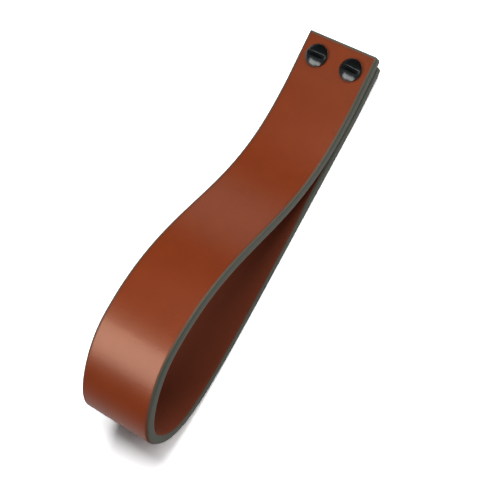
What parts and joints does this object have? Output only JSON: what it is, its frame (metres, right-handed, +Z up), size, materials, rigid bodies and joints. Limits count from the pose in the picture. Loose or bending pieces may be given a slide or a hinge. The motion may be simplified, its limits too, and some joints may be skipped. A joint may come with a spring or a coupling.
{
  "type": "leather loop pull",
  "caption": "Cabinet pull made of a thick leather strap folded into a loop, its ends clamped together by slotted screws and posts.",
  "frame": {"origin": "middle of the footprint, on the surface that the pull lies on and on the strap's flat back face", "axes": "+X from the cut ends to the bend of the loop, +Y across the strap, +Z up from the surface that the pull lies on"},
  "size_m": [0.174, 0.032, 0.052],
  "materials": {
    "leather": "smooth brown vegetable-tanned leather with a soft sheen and grey-black painted edges",
    "black_enamel": "gloss black enamel on steel"
  },
  "bodies": {
    "root": {"leather_strap": "leather", "screw_1": "black_enamel", "screw_2": "black_enamel", "post_1": "black_enamel", "post_2": "black_enamel"}
  },
  "joints": []
}
